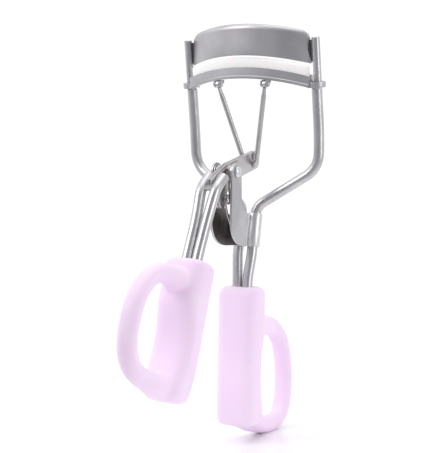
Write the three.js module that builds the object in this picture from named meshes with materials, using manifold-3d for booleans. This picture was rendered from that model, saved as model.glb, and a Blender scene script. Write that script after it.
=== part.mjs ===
// Eyelash curler with soft looped grips. Millimetres, +Z up, X across the jaws, -Y towards the swinging handle.
// It stands on the underside of the fixed finger loop, and the middle of that small flat is the origin.
import * as THREE from 'three';
import { mergeVertices } from 'three/addons/utils/BufferGeometryUtils.js';
import Module from 'manifold-3d';

const wasm = await Module();
wasm.setup();

// ---- driving dimensions -------------------------------------------------------------------------------------
// Design coordinates put the fixed grip's axis at Y = 0 and its lower end at Z = 0.
const REST_Y = 15; // middle of the flat under the fixed loop
const REST_Z = -4.2; // height of that flat
const WIRE_D = 2.6; // frame and handle wire
const WIRE_X = 1.36; // each shank wire's distance from the middle plane
const POST_X = 17.5; // each post's distance from the middle plane
const POST_THIN_D = 2.0; // the posts' ground upper ends
const POST_STEP = 0.3; // the thin ends keep the posts' outer sides
const HEAD = { y: 3.3, z: 82.8, lean: THREE.MathUtils.degToRad(9.5) }; // head frame: v back, w up along the posts
const POST_TOP = 12.6; // w of the posts' tops
const THIN_FROM = 0.4; // w where the thin ends start
const FIT = 0.07; // radial clearance of running fits
const GAP = 0.1; // gap between pieces that are fixed to each other

const PLATE = { r: 29, arch: 51, half: 16.4, v: -5.5, low: 9.0, high: 16.5, thick: 0.8 };
const JAW = { r: 42, half: 16.6, v: -5.9, low: 3.5, high: 6.2, depth: 3.3, sheet: 0.55 };
const PAD = { top: 8.45, half: 16.0 };
const EAR = { low: 0.6, high: 1.95, from: 16.1, round: 2.2 };

const PIVOT = { y: -9.1, z: 62.7 };
const PIN_D = 2.0;
const LEVER_T = 1.3;
const CHEEK = { inner: 2.4, outer: 3.05 };
const WEB = -5.6; // where the flat cheeks turn in towards their sleeves, from the sleeves' axes
const SLEEVE = { x: 1.95, r: 1.75, low: 44.3, high: 52.4 };
const EYE = { x: 6.5, v: -5.7, w: 2.05, r: 0.85, wide: 0.9, pin: 0.7 };
const LINK_D = 1.25;
const LINK_FOOT = { y: 2.75, z: 64.9, half: 1.65 };

const FIXED_L = 34.4; // the two grips' lengths
const MOVING_L = 32.8;
const GRIP_WIDE = 10.6;
const GRIP_DEEP = 9.6;
const LOOP_D = 5.0;
const SCOOP = 1.7; // the grips' loop sides are hollowed this deep for the finger

const SIDES = 12;

// ---- materials ----------------------------------------------------------------------------------------------
const satin = () => new THREE.MeshStandardMaterial({ color: 0x9d9aa2, roughness: 0.38, metalness: 1 });
const bright = () => new THREE.MeshStandardMaterial({ color: 0xc9c8cd, roughness: 0.2, metalness: 1 });
const springSteel = () => new THREE.MeshStandardMaterial({ color: 0xa39a92, roughness: 0.3, metalness: 1 });
const silicone = () => new THREE.MeshStandardMaterial({ color: 0xf6f6f4, roughness: 0.55, metalness: 0 });
const softGrip = () => new THREE.MeshStandardMaterial({ color: 0xf0d9f4, roughness: 0.6, metalness: 0 });

// ---- helpers ------------------------------------------------------------------------------------------------
const V = (x, y, z) => new THREE.Vector3(x, y, z);

function solid(geometry) {
  const bare = geometry.clone();
  bare.deleteAttribute('normal');
  bare.deleteAttribute('uv');
  const merged = mergeVertices(bare, 1e-4);
  return new wasm.Manifold(new wasm.Mesh({
    numProp: 3,
    vertProperties: new Float32Array(merged.attributes.position.array),
    triVerts: new Uint32Array(merged.index.array),
  }));
}

function geometryOf(body) {
  const mesh = body.getMesh();
  const geometry = new THREE.BufferGeometry();
  geometry.setAttribute('position', new THREE.BufferAttribute(new Float32Array(mesh.vertProperties), 3));
  geometry.setIndex(new THREE.BufferAttribute(new Uint32Array(mesh.triVerts), 1));
  geometry.computeVertexNormals();
  return geometry;
}

function join(...parts) {
  return parts.reduce((sum, part) => sum.add(part));
}

function cut(body, ...tools) {
  return tools.reduce((rest, tool) => rest.subtract(tool), body);
}

function piece(name, geometry, material) {
  const mesh = new THREE.Mesh(geometry, material);
  mesh.name = name;
  return mesh;
}

// A round bar between two points.
function bar(from, to, radius, sides = SIDES) {
  const along = to.clone().sub(from);
  const geometry = new THREE.CylinderGeometry(radius, radius, along.length(), sides);
  const turn = new THREE.Quaternion().setFromUnitVectors(V(0, 1, 0), along.clone().normalize());
  geometry.applyQuaternion(turn);
  geometry.translate(...from.clone().add(to).multiplyScalar(0.5).toArray());
  return geometry;
}

// A path of straight stretches, each inner corner rounded from its own distance (the last given one repeats).
function roundedPath(points, ...reaches) {
  const path = new THREE.CurvePath();
  let start = points[0];
  for (let i = 1; i < points.length - 1; i += 1) {
    const into = points[i].clone().sub(points[i - 1]);
    const out = points[i + 1].clone().sub(points[i]);
    const asked = reaches[Math.min(i, reaches.length) - 1];
    const reach = Math.min(asked, into.length() * 0.48, out.length() * 0.48);
    const before = points[i].clone().addScaledVector(into.normalize(), -reach);
    const after = points[i].clone().addScaledVector(out.normalize(), reach);
    path.add(new THREE.LineCurve3(start, before));
    path.add(new THREE.QuadraticBezierCurve3(before, points[i].clone(), after));
    start = after;
  }
  path.add(new THREE.LineCurve3(start, points[points.length - 1]));
  return path;
}

function ellipseShape(halfA, halfB, sides = SIDES) {
  const shape = new THREE.Shape();
  for (let i = 0; i < sides; i += 1) {
    const a = (i + 0.5) * 2 * Math.PI / sides;
    const [x, y] = [halfA * Math.cos(a), halfB * Math.sin(a)];
    if (i === 0) shape.moveTo(x, y);
    else shape.lineTo(x, y);
  }
  shape.closePath();
  return shape;
}

function tube(path, radius, steps, sides = SIDES) {
  return new THREE.ExtrudeGeometry(ellipseShape(radius, radius, sides), { extrudePath: path, steps });
}

// A flat plate cut to an outline in the YZ plane, between two X planes.
function sheetYZ(shape, x0, x1, curveSegments = 8) {
  const geometry = new THREE.ExtrudeGeometry(shape, { depth: x1 - x0, bevelEnabled: false, curveSegments });
  // shape x -> Y, shape y -> Z, depth -> X
  geometry.applyMatrix4(new THREE.Matrix4().set(0, 0, 1, x0, 1, 0, 0, 0, 0, 1, 0, 0, 0, 0, 0, 1));
  return geometry;
}

// A section in (v, w) drawn along X, then bowed back and arched down towards both ends.
function bowedStrip(shape, half, bowRadius, steps = 24) {
  const geometry = sheetYZAlong(shape, half, steps);
  const at = geometry.attributes.position;
  for (let i = 0; i < at.count; i += 1) {
    const x = at.getX(i);
    const bow = bowRadius - Math.sqrt(bowRadius ** 2 - x ** 2);
    at.setXYZ(i, x, at.getY(i) + bow, at.getZ(i) - archAt(x));
  }
  return geometry;
}

function sheetYZAlong(shape, half, steps) {
  const geometry = new THREE.ExtrudeGeometry(shape, { depth: 2 * half, steps, bevelEnabled: false });
  geometry.applyMatrix4(new THREE.Matrix4().set(0, 0, 1, -half, 1, 0, 0, 0, 0, 1, 0, 0, 0, 0, 0, 1));
  return geometry;
}

const archAt = (x) => PLATE.arch - Math.sqrt(PLATE.arch ** 2 - x ** 2);

function polygon(points) {
  return new THREE.Shape(points.map(([x, y]) => new THREE.Vector2(x, y)));
}

// Head frame (x, v, w) to design coordinates.
function headPoint(x, v, w) {
  const [c, s] = [Math.cos(HEAD.lean), Math.sin(HEAD.lean)];
  return V(x, HEAD.y + v * c - w * s, HEAD.z + v * s + w * c);
}

// The wires lean back through their sleeves.
function sleeveAxis(side, height) {
  return V(side * SLEEVE.x, 1.1 + (height - 43.6) * 0.16, height);
}

// ---- fixed frame --------------------------------------------------------------------------------------------
function frameWire(side) {
  const thickTop = headPoint(side * POST_X, 0, THIN_FROM);
  const path = roundedPath([
    V(side * WIRE_X, 0, 7),
    V(side * WIRE_X, 0, 36),
    sleeveAxis(side, 42),
    sleeveAxis(side, 54.1),
    V(side * 17.3, 5.7, 63.9),
    headPoint(side * POST_X, 0, -11),
    thickTop,
  ], 2.5, 1.5, 2.1, 6);
  const thick = solid(tube(path, WIRE_D / 2, 36));
  const thin = solid(bar(
    headPoint(side * (POST_X + POST_STEP), 0, THIN_FROM - 1.2),
    headPoint(side * (POST_X + POST_STEP), 0, POST_TOP),
    POST_THIN_D / 2,
  ));
  return geometryOf(join(thick, thin));
}

function topPlate() {
  const rim = 1.3; // the top edge rolls back on this radius
  const { v, low, high, thick } = PLATE;
  const points = [[v, low], [v + 0.25, (low + high) / 2 - 1]];
  for (let i = 0; i <= 4; i += 1) {
    const a = i * Math.PI / 8;
    points.push([v + 0.6 + rim * (1 - Math.cos(a)), high - rim + rim * Math.sin(a)]);
  }
  points.push([v + 0.6 + rim, high - thick]);
  points.push([v + 0.6 + thick, high - rim - 0.2], [v + 0.25 + thick, (low + high) / 2 - 1], [v + thick, low]);
  const strip = solid(bowedStrip(polygon(points.reverse()), PLATE.half, PLATE.r));
  const middle = (low + high) / 2 - archAt(PLATE.half);
  const bites = [-1, 1].map((side) => solid(bar(
    V(side * (PLATE.half + 5.6), -4, middle),
    V(side * (PLATE.half + 5.6), 6, middle),
    6.2,
    32,
  )));
  return geometryOf(cut(strip, ...bites, ...[-1, 1].map(cornerCutter)));
}

// Takes the upper corner off one end of the plate, leaving it rounded.
function cornerCutter(side) {
  const round = 4.2;
  const x = PLATE.half - round;
  const w = PLATE.high - archAt(x) - round + 0.02;
  const block = new THREE.BoxGeometry(round + 1, 8, round + 1);
  block.translate(side * (x + (round + 1) / 2), 0, w + (round + 1) / 2);
  return solid(block).subtract(solid(bar(V(side * x, -5, w), V(side * x, 5, w), round, 20)));
}

// The sheet between a flat cheek and its sleeve, leaning with the sleeve.
function bracketWeb(side, low, high) {
  const { inner, outer } = CHEEK;
  const points = [
    [outer, WEB - 0.3], [outer, WEB], [SLEEVE.x - 0.55, -1.55],
    [SLEEVE.x - 1.2, -1.2], [inner, WEB], [inner, WEB - 0.3],
  ].map(([x, y]) => [side * x, y]);
  const outline = polygon(side > 0 ? points : points.reverse());
  const web = new THREE.ExtrudeGeometry(outline, { depth: high - low, bevelEnabled: false });
  const at = web.attributes.position;
  for (let i = 0; i < at.count; i += 1) {
    const height = low + at.getZ(i);
    at.setXYZ(i, at.getX(i), at.getY(i) + sleeveAxis(side, height).y, height);
  }
  return web;
}

function bracketPlate(side) {
  const { y, z } = PIVOT;
  const shape = new THREE.Shape();
  shape.moveTo(y - 2.2, z);
  shape.absarc(y, z, 2.2, Math.PI, 0, true);
  shape.lineTo(y + 2.5, 56.2);
  shape.quadraticCurveTo(y + 2.9, 54.4, y + 4.8, 53.2);
  shape.lineTo(sleeveAxis(side, 52.2).y + WEB, 52.2);
  shape.lineTo(sleeveAxis(side, 44.6).y + WEB, 44.6);
  shape.quadraticCurveTo(y - 2.1, 45.2, y - 2.2, 51.5);
  shape.closePath();
  const [x0, x1] = side > 0 ? [CHEEK.inner, CHEEK.outer] : [-CHEEK.outer, -CHEEK.inner];
  const inside = solid(bar(sleeveAxis(side, 42), sleeveAxis(side, 55), WIRE_D / 2 + GAP, 16));
  const body = join(
    solid(sheetYZ(shape, x0, x1)),
    solid(bracketWeb(side, 44.6, 52.2)),
    solid(bar(sleeveAxis(side, SLEEVE.low), sleeveAxis(side, SLEEVE.high), SLEEVE.r, 20)),
  );
  const pinHole = solid(bar(V(side * 1, y, z), V(side * 5, y, z), PIN_D / 2 + FIT, 16));
  return geometryOf(cut(body, inside, pinHole));
}

function pivotRivet() {
  const { outer } = CHEEK;
  const profile = [
    [0, -outer - 0.6], [0.9, -outer - 0.5], [1.35, -outer - GAP], [PIN_D / 2, -outer - GAP],
    [PIN_D / 2, outer + GAP], [1.35, outer + GAP], [1.2, outer + 0.5], [0.75, outer + 0.8], [0, outer + 0.9],
  ].map(([r, h]) => new THREE.Vector2(r, h));
  const geometry = new THREE.LatheGeometry(profile, 16);
  geometry.rotateZ(-Math.PI / 2);
  geometry.translate(0, PIVOT.y, PIVOT.z);
  return geometry;
}

function ring(x0, x1, inner, outer, sides = 20) {
  const profile = [[inner, x0], [outer, x0], [outer, x1], [inner, x1], [inner, x0]];
  const geometry = new THREE.LatheGeometry(profile.map(([r, h]) => new THREE.Vector2(r, h)), sides);
  geometry.rotateZ(-Math.PI / 2);
  geometry.translate(0, PIVOT.y, PIVOT.z);
  return geometry;
}

function torsionSpring() {
  const wire = 0.22;
  const coil = { r: 1.5, x0: 0.93, rise: 0.9, from: Math.PI / 2 - 0.2, sweep: 4.5 * Math.PI + 0.2, steps: 27 };
  const at = (x, dy, dz) => V(x, PIVOT.y + dy, PIVOT.z + dz);
  const points = [at(coil.x0, 4.4, 2.5), at(coil.x0, 2.2, 1.95)];
  for (let i = 0; i <= coil.steps; i += 1) {
    const part = i / coil.steps;
    const a = coil.from + part * coil.sweep;
    points.push(at(coil.x0 + part * coil.rise, coil.r * Math.cos(a), coil.r * Math.sin(a)));
  }
  points.push(at(1.9, -1.9, -3.6));
  const hook = { r: 0.95, dy: -1.6, dz: -6.6, turns: 1.2, steps: 12 };
  for (let i = 0; i <= hook.steps; i += 1) {
    const a = Math.PI / 2 + i / hook.steps * hook.turns * 2 * Math.PI;
    points.push(at(1.95 - 0.7 * i / hook.steps, hook.dy + hook.r * Math.cos(a), hook.dz + hook.r * Math.sin(a)));
  }
  points.push(at(1.2, -1.2, -10), at(1.2, 0.6, -13));
  return tube(new THREE.CatmullRomCurve3(points, false, 'centripetal'), wire, 110, 6);
}

// ---- jaw ----------------------------------------------------------------------------------------------------
function lowerJaw() {
  const { v, low, high, depth, sheet } = JAW;
  const lip = 0.3;
  const section = polygon([
    [v - lip, low], [v + depth, low], [v + depth, high], [v + depth - sheet, high], [v + depth - sheet, low + 0.6],
    [v + sheet, low + 0.6], [v + sheet, high], [v, high], [v, low + 0.6], [v - lip, low + 0.6],
  ]);
  const channel = solid(bowedStrip(section, JAW.half, JAW.r));
  const ears = [-1, 1].map((side) => {
    const ear = new THREE.Shape();
    ear.moveTo(side * EAR.from, -EAR.round);
    ear.lineTo(side * POST_X, -EAR.round);
    ear.absarc(side * POST_X, 0, EAR.round, -Math.PI / 2, Math.PI / 2, side < 0);
    ear.lineTo(side * EAR.from, EAR.round * 0.7);
    ear.closePath();
    const flat = new THREE.ExtrudeGeometry(ear, { depth: EAR.high - EAR.low, bevelEnabled: false, curveSegments: 12 });
    flat.translate(0, 0, EAR.low);
    return solid(flat);
  });
  const holes = [-1, 1].map((side) => solid(bar(
    V(side * POST_X, 0, EAR.low - 2),
    V(side * POST_X, 0, EAR.high + 6),
    WIRE_D / 2 + FIT,
    20,
  )));
  return geometryOf(cut(join(channel, ...ears), ...holes));
}

function siliconePad() {
  const { v, low, depth, sheet } = JAW;
  const [front, back, foot] = [v + sheet + GAP, v + depth - sheet - GAP, low + 0.6 + GAP];
  const crown = PAD.top - 0.7;
  const section = polygon([
    [front, foot], [back, foot], [back, crown], [back - 0.25, PAD.top - 0.2], [back - 0.7, PAD.top],
    [front + 0.7, PAD.top], [front + 0.25, PAD.top - 0.2], [front, crown],
  ]);
  return bowedStrip(section, PAD.half, JAW.r, 20);
}

function linkLug(side) {
  const top = JAW.low - archAt(EYE.x) - GAP;
  const cheeks = [-1, 1].map((way) => {
    const x = side * EYE.x + way * (EYE.wide / 2 + FIT + 0.2);
    const leaf = new THREE.Shape();
    leaf.moveTo(EYE.v - 0.75, top);
    leaf.lineTo(EYE.v - 0.75, EYE.w);
    leaf.absarc(EYE.v, EYE.w, 0.75, Math.PI, 2 * Math.PI, false);
    leaf.lineTo(EYE.v + 1.4, top);
    leaf.closePath();
    return solid(sheetYZ(leaf, x - 0.2, x + 0.2));
  });
  const crown = new THREE.BoxGeometry(EYE.wide + 2 * FIT + 0.8, 0.4, 0.8);
  crown.translate(side * EYE.x, EYE.v + 1.15, top - 0.4);
  const hole = solid(bar(V(side * EYE.x - 2, EYE.v, EYE.w), V(side * EYE.x + 2, EYE.v, EYE.w), EYE.pin / 2 + FIT / 2));
  return geometryOf(cut(join(solid(crown), ...cheeks), hole));
}

function linkPin(side) {
  const half = EYE.wide / 2 + FIT + 0.4;
  const profile = [[0, -half - 0.35], [0.6, -half - 0.3], [0.6, -half - 0.05], [EYE.pin / 2, -half - 0.05],
    [EYE.pin / 2, half + 0.05], [0.6, half + 0.05], [0.6, half + 0.3], [0, half + 0.35]];
  const geometry = new THREE.LatheGeometry(profile.map(([r, h]) => new THREE.Vector2(r, h)), 12);
  geometry.rotateZ(-Math.PI / 2);
  geometry.translate(side * EYE.x, EYE.v, EYE.w);
  return geometry;
}

// ---- link ---------------------------------------------------------------------------------------------------
function vLink() {
  const { y, z, half } = LINK_FOOT;
  const eye = (side) => headPoint(side * EYE.x, EYE.v, EYE.w);
  const knee = (side) => V(side * half, y, z);
  const start = (side) => eye(side).lerp(knee(side), 0.04);
  const path = roundedPath([start(-1), knee(-1), knee(1), start(1)], 1.1);
  const hoops = [-1, 1].map((side) => {
    const at = eye(side);
    return [
      solid(bar(V(at.x - EYE.wide / 2, at.y, at.z), V(at.x + EYE.wide / 2, at.y, at.z), EYE.r, 16)),
      solid(bar(V(at.x - 1, at.y, at.z), V(at.x + 1, at.y, at.z), EYE.pin / 2 + FIT, 12)),
    ];
  });
  // the eyes are flattened to the width that the lugs leave
  const slabs = [-1, 1].map((side) => {
    const at = eye(side);
    return [-1, 1].map((way) => {
      const slab = new THREE.BoxGeometry(2, 3, 2.4);
      slab.translate(at.x + way * (1 + EYE.wide / 2), at.y, at.z - 0.1);
      return solid(slab);
    });
  }).flat();
  const rods = cut(solid(tube(path, LINK_D / 2, 40, 10)), ...slabs);
  return geometryOf(cut(join(rods, ...hoops.map((h) => h[0])), ...hoops.map((h) => h[1])));
}

// ---- swinging handle ----------------------------------------------------------------------------------------
function leverPlate() {
  const { y, z } = PIVOT;
  const shape = new THREE.Shape();
  shape.moveTo(y - 0.8, 64.7);
  shape.lineTo(3.6, 67.8);
  shape.quadraticCurveTo(6.3, 68.2, 6.3, 66.2);
  shape.lineTo(6.2, 64.9);
  shape.quadraticCurveTo(6.0, 63.7, 4.6, 63.4);
  shape.lineTo(-2.4, 61.6);
  shape.lineTo(y + 1.4, 60.4);
  shape.quadraticCurveTo(-9.4, 58.6, -9.9, 55.6);
  shape.quadraticCurveTo(-10.7, 53.6, -12.0, 54.0);
  shape.quadraticCurveTo(-13.3, 54.8, -13.4, 57.4);
  shape.lineTo(-16.8, 59.0);
  shape.lineTo(-17.2, 61.0);
  shape.closePath();
  const [x0, x1] = [-LEVER_T, LEVER_T];
  const slot = { y: 2.9, low: 64.75, high: 66.45, r: 1.05 };
  const cuts = [
    bar(V(x0, y, z), V(x1, y, z), PIN_D / 2 + FIT, 16),
    bar(V(x0, slot.y, slot.low), V(x1, slot.y, slot.low), slot.r, 16),
    bar(V(x0, slot.y, slot.high), V(x1, slot.y, slot.high), slot.r, 16),
  ];
  const waist = new THREE.BoxGeometry(2 * LEVER_T, 2 * slot.r, slot.high - slot.low);
  waist.translate(0, slot.y, (slot.low + slot.high) / 2);
  const plate = sheetYZ(shape, -LEVER_T / 2, LEVER_T / 2, 10);
  return geometryOf(cut(solid(plate), ...cuts.map(solid), solid(waist)));
}

const HANDLE_TILT = THREE.MathUtils.degToRad(18.6);
const GRIP_TOP = V(0, -24.4, 42.2);

// Grip frame (x, out from the middle plane of the tool, up along the grip) to design coordinates.
function gripPoint(x, out, up) {
  const [c, s] = [Math.cos(HANDLE_TILT), Math.sin(HANDLE_TILT)];
  const fromTop = up - MOVING_L;
  return V(x, GRIP_TOP.y - out * c + fromTop * s, GRIP_TOP.z + out * s + fromTop * c);
}

function handleWire(side) {
  const spread = LEVER_T / 2 + WIRE_D / 2 + GAP;
  const path = roundedPath([
    gripPoint(side * WIRE_X, 0, 7),
    gripPoint(side * WIRE_X, 0, MOVING_L),
    V(side * (WIRE_X + 0.1), -20.0, 52.0),
    V(side * spread, -17.3, 58.9),
    V(side * spread, -13.3, 61.7),
  ], 4, 4, 3.4);
  return tube(path, WIRE_D / 2, 26);
}

// ---- grips --------------------------------------------------------------------------------------------------
// Both are drawn in a frame of their own: x across, out towards the loop, up along the grip.
// The lower end narrows by the given share.
function gripBody(length, taper) {
  const r = 3.2;
  const [a, b] = [GRIP_WIDE / 2, GRIP_DEEP / 2];
  const outline = (inset) => {
    const shape = new THREE.Shape();
    const [x, y, q] = [a - inset, b - inset, r - inset * 0.5];
    shape.moveTo(-x + q, -y);
    shape.lineTo(x - q, -y);
    shape.absarc(x - q, -y + q, q, -Math.PI / 2, 0, false);
    shape.lineTo(x, y - q);
    shape.absarc(x - q, y - q, q, 0, Math.PI / 2, false);
    shape.lineTo(-x + q, y);
    shape.absarc(-x + q, y - q, q, Math.PI / 2, Math.PI, false);
    shape.lineTo(-x, -y + q);
    shape.absarc(-x + q, -y + q, q, Math.PI, 1.5 * Math.PI, false);
    return shape;
  };
  const bevel = 0.9;
  const body = new THREE.ExtrudeGeometry(outline(bevel), {
    depth: length - 2 * bevel,
    bevelEnabled: true,
    bevelThickness: bevel,
    bevelSize: bevel,
    bevelSegments: 2,
    curveSegments: 5,
    steps: 8,
  });
  body.translate(0, 0, bevel);
  const at = body.attributes.position;
  for (let i = 0; i < at.count; i += 1) {
    const narrow = 1 - taper * Math.max(0, 1 - at.getZ(i) / 9) ** 2;
    const scoop = at.getY(i) > 1.5 ? SCOOP * Math.sin(Math.PI * THREE.MathUtils.clamp((at.getZ(i) - 4) / 18, 0, 1)) : 0;
    at.setXY(i, at.getX(i) * narrow, at.getY(i) * narrow - scoop);
  }
  const bores = [-1, 1].map((side) => solid(bar(
    V(side * WIRE_X, 0, 6),
    V(side * WIRE_X, 0, length + 4),
    WIRE_D / 2 + GAP,
  )));
  return { body: solid(body), bores };
}

function loopTube(points) {
  const path = new THREE.CatmullRomCurve3(points.map(([out, up]) => V(0, out, up)), false, 'centripetal');
  const section = ellipseShape(LOOP_D / 2 * 0.92, LOOP_D / 2, 10);
  return solid(new THREE.ExtrudeGeometry(section, { extrudePath: path, steps: 28 }));
}

function fixedGrip() {
  const { body, bores } = gripBody(FIXED_L, 0);
  const loop = loopTube([
    [1, 23.2], [8, 23.6], [14.3, 23.3], [20.0, 19.2], [22.9, 11.5],
    [23.0, 4.0], [21.3, -0.4], [17.6, -2.2], [12.0, -2.0], [6, 0], [1, 2.6],
  ]);
  const floor = new THREE.BoxGeometry(40, 60, 10);
  floor.translate(0, 10, REST_Z - 5);
  return geometryOf(cut(join(body, loop), ...bores, solid(floor)));
}

function movingGrip() {
  const { body, bores } = gripBody(MOVING_L, 0.16);
  const loop = loopTube([
    [1, 26.4], [8, 27.4], [14, 26.2], [18.4, 21.6], [20, 14.4], [18.8, 8.0], [15.2, 4.5], [8, 3.0], [1, 2.9],
  ]);
  return geometryOf(cut(join(body, loop), ...bores));
}

// ---- assembly -----------------------------------------------------------------------------------------------
const head = new THREE.Group();
head.position.set(0, HEAD.y, HEAD.z);
head.rotation.x = HEAD.lean;
head.add(
  piece('top_plate', topPlate(), satin()),
  piece('lower_jaw', lowerJaw(), satin()),
  piece('silicone_pad', siliconePad(), silicone()),
);

const tool = new THREE.Group();
tool.add(head);
for (const [word, side] of [['left', -1], ['right', 1]]) {
  head.add(
    piece(`${word}_link_lug`, linkLug(side), satin()),
    piece(`${word}_link_pin`, linkPin(side), bright()),
  );
  const [near, far] = [LEVER_T / 2 + 0.15, CHEEK.inner - 0.05];
  const washer = side > 0 ? ring(far - 0.25, far, PIN_D / 2 + FIT, 2.0) : ring(-far, -far + 0.25, PIN_D / 2 + FIT, 2.0);
  tool.add(
    piece(`${word}_frame_wire`, frameWire(side), bright()),
    piece(`${word}_bracket_plate`, bracketPlate(side), satin()),
    piece(`${word}_pivot_washer`, washer, bright()),
    piece(`${word}_handle_wire`, handleWire(side), bright()),
  );
  if (side < 0) tool.add(piece('spacer_bush', ring(-far + 0.35, -near, PIN_D / 2 + FIT, 1.7), bright()));
}
tool.add(
  piece('pivot_rivet', pivotRivet(), bright()),
  piece('torsion_spring', torsionSpring(), springSteel()),
  piece('v_link', vLink(), satin()),
  piece('lever_plate', leverPlate(), satin()),
);

const fixed = piece('fixed_grip', fixedGrip(), softGrip());
tool.add(fixed);

const moving = piece('moving_grip', movingGrip(), softGrip());
moving.position.copy(gripPoint(0, 0, 0));
moving.rotation.set(-HANDLE_TILT, 0, Math.PI, 'XYZ');
tool.add(moving);

tool.position.set(0, -REST_Y, -REST_Z);
const curler = new THREE.Group();
curler.add(tool);
export default curler;
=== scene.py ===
"""Eyelash curler with soft looped grips: fine meshes, materials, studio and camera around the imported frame.

Lengths in the driving dimensions below are millimetres in the design coordinates of the part: X across the
jaws, Y = 0 on the fixed grip's axis, Z = 0 at its lower end. row() turns them into metres in the frame's
coordinates.
"""

import math

import bmesh
import bpy
from mathutils import Matrix, Vector


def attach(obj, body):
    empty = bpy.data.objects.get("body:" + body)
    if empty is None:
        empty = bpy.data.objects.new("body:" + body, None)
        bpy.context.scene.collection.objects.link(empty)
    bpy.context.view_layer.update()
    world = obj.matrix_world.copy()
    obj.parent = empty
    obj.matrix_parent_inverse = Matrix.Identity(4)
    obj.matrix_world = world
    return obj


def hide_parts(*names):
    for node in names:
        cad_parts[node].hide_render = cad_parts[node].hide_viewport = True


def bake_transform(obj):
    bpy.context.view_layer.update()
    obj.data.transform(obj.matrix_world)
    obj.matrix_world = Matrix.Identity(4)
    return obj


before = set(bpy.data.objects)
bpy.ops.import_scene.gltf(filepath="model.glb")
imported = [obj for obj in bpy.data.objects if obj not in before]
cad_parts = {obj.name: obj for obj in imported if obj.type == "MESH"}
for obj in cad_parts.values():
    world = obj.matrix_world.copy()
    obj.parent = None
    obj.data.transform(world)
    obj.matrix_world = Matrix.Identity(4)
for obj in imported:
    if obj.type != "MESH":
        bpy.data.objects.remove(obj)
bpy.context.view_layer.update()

# ---- driving dimensions, as in the CAD part ------------------------------------------------------------
MM = 0.001
REST = Vector((0, 15.0, -4.2))  # design place of the frame's origin
WIRE_R = 1.3
WIRE_X = 1.36
POST_X = 17.5
POST_THIN_R = 1.0
POST_STEP = 0.3
HEAD_Y, HEAD_Z, HEAD_LEAN = 3.3, 82.8, math.radians(9.5)
POST_TOP = 12.6
THIN_FROM = 0.4
FIT = 0.07
GAP = 0.1

PLATE_BOW, PLATE_ARCH, PLATE_HALF = 29, 51, 16.4
PLATE_V, PLATE_LOW, PLATE_HIGH, PLATE_THICK = -5.5, 9.0, 16.5, 0.8
JAW_BOW, JAW_HALF, JAW_DEPTH, JAW_SHEET = 42, 16.6, 3.3, 0.55
JAW_V, JAW_LOW, JAW_HIGH = -5.9, 3.5, 6.2
PAD_TOP, PAD_HALF = 8.45, 16.0
EAR_LOW, EAR_HIGH, EAR_FROM, EAR_R = 0.6, 1.95, 16.1, 2.2

PIVOT_Y, PIVOT_Z, PIN_R = -9.1, 62.7, 1.0
LEVER_T = 1.3
CHEEK_IN, CHEEK_OUT = 2.4, 3.05
WEB = -5.6  # where the flat cheeks turn in towards their sleeves
WEB_LOW, WEB_HIGH = 44.6, 52.2
SLEEVE_X, SLEEVE_R, SLEEVE_LOW, SLEEVE_HIGH = 1.95, 1.75, 44.3, 52.4
EYE_X, EYE_V, EYE_W, EYE_R, EYE_WIDE, EYE_PIN_R = 6.5, -5.7, 2.05, 0.85, 0.9, 0.35
LINK_R = 0.625
FOOT_Y, FOOT_Z, FOOT_HALF = 2.75, 64.9, 1.65

FIXED_L, MOVING_L = 34.4, 32.8
GRIP_WIDE, GRIP_DEEP = 10.6, 9.6
LOOP_R = 2.5
SCOOP = 1.7
HANDLE_TILT = math.radians(18.6)
GRIP_TOP = Vector((0, -24.4, 42.2))
FIXED_LOOP = [
    (1, 23.2), (8, 23.6), (14.3, 23.3), (20.0, 19.2), (22.9, 11.5),
    (23.0, 4.0), (21.3, -0.4), (17.6, -2.2), (12.0, -2.0), (6, 0), (1, 2.6),
]
MOVING_LOOP = [
    (1, 26.4), (8, 27.4), (14, 26.2), (18.4, 21.6), (20, 14.4), (18.8, 8.0), (15.2, 4.5), (8, 3.0), (1, 2.9),
]


# ---- coordinates ---------------------------------------------------------------------------------------
def row(p):
    """Design millimetres to row metres."""
    return (Vector(p) - REST) * MM


def head(x, v, w):
    """Head frame (across, back, up along the posts) to design coordinates."""
    c, s = math.cos(HEAD_LEAN), math.sin(HEAD_LEAN)
    return Vector((x, HEAD_Y + v * c - w * s, HEAD_Z + v * s + w * c))


def moving(x, out, up):
    """Moving grip's frame (across, out towards its loop, up along it) to design coordinates."""
    c, s = math.cos(HANDLE_TILT), math.sin(HANDLE_TILT)
    from_top = up - MOVING_L
    return Vector((x, GRIP_TOP.y - out * c + from_top * s, GRIP_TOP.z + out * s + from_top * c))


def fixed(x, out, up):
    """Fixed grip's frame to design coordinates."""
    return Vector((x, out, up))


def sleeve_axis(side, height):
    return Vector((side * SLEEVE_X, 1.1 + (height - 43.6) * 0.16, height))


def arch(x):
    return PLATE_ARCH - math.sqrt(PLATE_ARCH**2 - x * x)


def bow(x, radius):
    return radius - math.sqrt(radius**2 - x * x)


# ---- paths ---------------------------------------------------------------------------------------------
def rounded_path(points, *reaches, step=0.5):
    """Straight stretches with each corner rounded from its own distance; the last given one repeats."""
    points = [Vector(p) for p in points]
    path = [points[0]]
    for i in range(1, len(points) - 1):
        before, corner, after = points[i - 1 : i + 2]
        into, out = corner - before, after - corner
        reach = min(reaches[min(i, len(reaches)) - 1], into.length * 0.48, out.length * 0.48)
        start, end = corner - into.normalized() * reach, corner + out.normalized() * reach
        turns = max(4, round(2 * reach / step))
        for k in range(turns + 1):
            t = k / turns
            path.append(start * (1 - t) ** 2 + corner * 2 * t * (1 - t) + end * t * t)
    path.append(points[-1])
    return refine(path, 2.0)


def refine(path, longest):
    """Splits long stretches so that none is longer than this."""
    fine = [path[0]]
    for p in path[1:]:
        last = fine[-1]
        count = max(1, math.ceil((p - last).length / longest))
        fine += [last.lerp(p, k / count) for k in range(1, count + 1)]
    return fine


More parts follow.
